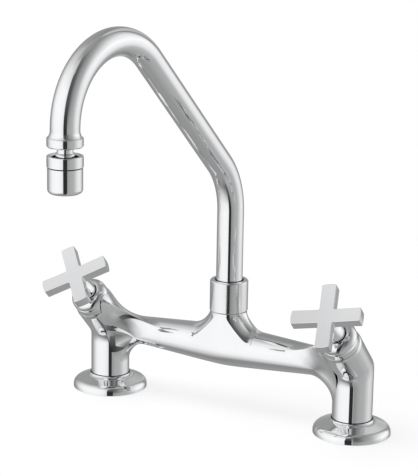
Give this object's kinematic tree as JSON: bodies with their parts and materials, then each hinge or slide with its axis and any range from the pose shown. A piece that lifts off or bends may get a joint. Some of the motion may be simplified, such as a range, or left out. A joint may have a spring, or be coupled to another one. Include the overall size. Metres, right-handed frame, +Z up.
{
  "type": "bridge kitchen faucet",
  "caption": "Deck-mounted bridge kitchen faucet in polished chrome: inclined screw-down valves with cross handles, a gooseneck swivel spout and a swivelling aerator",
  "frame": {"origin": "midway between the two inlets, on the deck's top surface", "axes": "+X along the bridge to the user's right, -Y to the user, +Z up"},
  "size_m": [0.2552, 0.2209, 0.3523],
  "materials": {
    "polished_chrome": "Chromium plate on brass, polished to a mirror",
    "machined_brass": "Plain turned brass, not plated",
    "stainless_steel": "Stainless steel, turned or stamped",
    "black_rubber": "Moulded black rubber",
    "white_nylon": "Moulded white nylon",
    "red_fibre": "Pressed red fibre"
  },
  "bodies": {
    "body": {"bridge_body": "polished_chrome", "flange_left": "polished_chrome", "flange_right": "polished_chrome", "flange_gasket_left": "black_rubber", "flange_gasket_right": "black_rubber", "inlet_shank_left": "machined_brass", "inlet_shank_right": "machined_brass", "deck_washer_left": "stainless_steel", "deck_washer_right": "stainless_steel", "fixing_nut_left": "machined_brass", "fixing_nut_right": "machined_brass", "fibre_ring_left": "red_fibre", "fibre_ring_right": "red_fibre", "headwork_left": "machined_brass", "headwork_right": "machined_brass", "bonnet_cover_left": "polished_chrome", "bonnet_cover_right": "polished_chrome", "spout_nut": "polished_chrome", "slip_washer": "white_nylon"},
    "spout": {"spout_bush": "machined_brass", "spout_seals": "black_rubber", "spout_tube": "polished_chrome", "outlet_adaptor": "polished_chrome"},
    "outlet_swivel": {"ball_stem": "polished_chrome", "stem_seal": "black_rubber", "stem_clip": "stainless_steel"},
    "outlet_head": {"outlet_ring": "polished_chrome", "ball_seat_upper": "white_nylon", "ball_seat_lower": "black_rubber", "outlet_cup": "polished_chrome", "aerator_insert": "white_nylon"},
    "handle_left": {"cross_handle_left": "polished_chrome", "grub_screw_left": "stainless_steel", "spindle_left": "machined_brass", "spindle_seal_left": "black_rubber", "spindle_clip_left": "stainless_steel"},
    "valve_left": {"valve_carrier_left": "machined_brass", "valve_washer_left": "black_rubber", "washer_screw_left": "stainless_steel"},
    "handle_right": {"cross_handle_right": "polished_chrome", "grub_screw_right": "stainless_steel", "spindle_right": "machined_brass", "spindle_seal_right": "black_rubber", "spindle_clip_right": "stainless_steel"},
    "valve_right": {"valve_carrier_right": "machined_brass", "valve_washer_right": "black_rubber", "washer_screw_right": "stainless_steel"}
  },
  "joints": [
    {"name": "spout_swivel", "type": "hinge", "parent": "body", "child": "spout", "pos_m": [0, 0, 0.073], "axis": [0, 0, 1], "continuous": true},
    {"name": "handle_left_turn", "type": "hinge", "parent": "body", "child": "handle_left", "pos_m": [-0.1, -0.02828, 0.07648], "axis": [0, -0.7071, 0.7071], "range_deg": [0, 600]},
    {"name": "valve_left_lift", "type": "slide", "parent": "body", "child": "valve_left", "axis": [0, -0.7071, 0.7071], "range_m": [0, 0.003]},
    {"name": "handle_right_turn", "type": "hinge", "parent": "body", "child": "handle_right", "pos_m": [0.1, -0.02828, 0.07648], "axis": [0, -0.7071, 0.7071], "range_deg": [0, 600]},
    {"name": "valve_right_lift", "type": "slide", "parent": "body", "child": "valve_right", "axis": [0, -0.7071, 0.7071], "range_m": [0, 0.003]},
    {"name": "outlet_spin", "type": "hinge", "parent": "spout", "child": "outlet_swivel", "pos_m": [-0.02198, -0.1816, 0.22204], "axis": [0, 0, 1], "continuous": true},
    {"name": "outlet_tilt", "type": "hinge", "parent": "outlet_swivel", "child": "outlet_head", "pos_m": [-0.02198, -0.1816, 0.21054], "axis": [0.9928, -0.1201, 0], "range_deg": [-14, 14]}
  ],
  "couplings": [
    {"joint": "handle_left_turn", "follows": "valve_left_lift", "rad_per_m": 3490.7},
    {"joint": "handle_right_turn", "follows": "valve_right_lift", "rad_per_m": 3490.7}
  ]
}
